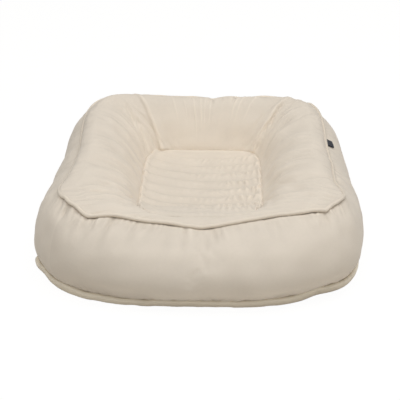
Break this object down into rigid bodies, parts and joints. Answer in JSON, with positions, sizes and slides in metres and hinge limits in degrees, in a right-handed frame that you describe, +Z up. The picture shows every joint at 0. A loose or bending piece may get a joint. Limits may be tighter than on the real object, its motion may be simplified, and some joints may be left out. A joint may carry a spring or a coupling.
{
  "type": "infant lounger",
  "caption": "Low padded infant lounger: a soft bolster all round a well with a gathered floor, piped top and bottom seams, and a zipped removable cover.",
  "frame": {"origin": "on the floor, under the middle of the lounger's bounding box", "axes": "+Z up, -Y towards the low front of the bolster, +X to the right as seen from the front"},
  "size_m": [0.5962, 0.5846, 0.187],
  "materials": {
    "cover": "matte",
    "piping": "matte",
    "tab": "matte",
    "ticking": "matte",
    "fill": "matte",
    "zip_tape": "matte",
    "zip_coil": "satin",
    "zip_metal": "satin"
  },
  "bodies": {
    "lounger": {"base_panel": "cover", "bottom_piping": "piping", "front_side_band": "cover", "rear_band_lower": "cover", "rear_band_upper": "cover", "top_piping": "piping", "front_wall_panel": "cover", "right_wall_panel": "cover", "rear_wall_panel": "cover", "left_wall_panel": "cover", "well_floor_panel": "cover", "side_tab": "tab", "ticking_base": "ticking", "inner_ticking": "ticking", "bolster_fill": "fill", "centre_pad": "fill", "zip_tape_upper": "zip_tape", "zip_tape_lower": "zip_tape", "zip_coil_upper": "zip_coil", "zip_coil_lower": "zip_coil", "zip_stop_start": "zip_metal", "zip_stop_end": "zip_metal"},
    "slider": {"zip_slider": "zip_metal"},
    "pull": {"zip_pull": "zip_metal"}
  },
  "joints": [
    {"name": "zip_slide", "type": "slide", "parent": "lounger", "child": "slider", "axis": [1, 0, 0], "range_m": [0, 0.30957]},
    {"name": "zip_pull_turn", "type": "hinge", "parent": "slider", "child": "pull", "pos_m": [-0.15467, 0.29021, 0.06], "axis": [0, 0, 1], "range_deg": [0, 180]}
  ]
}
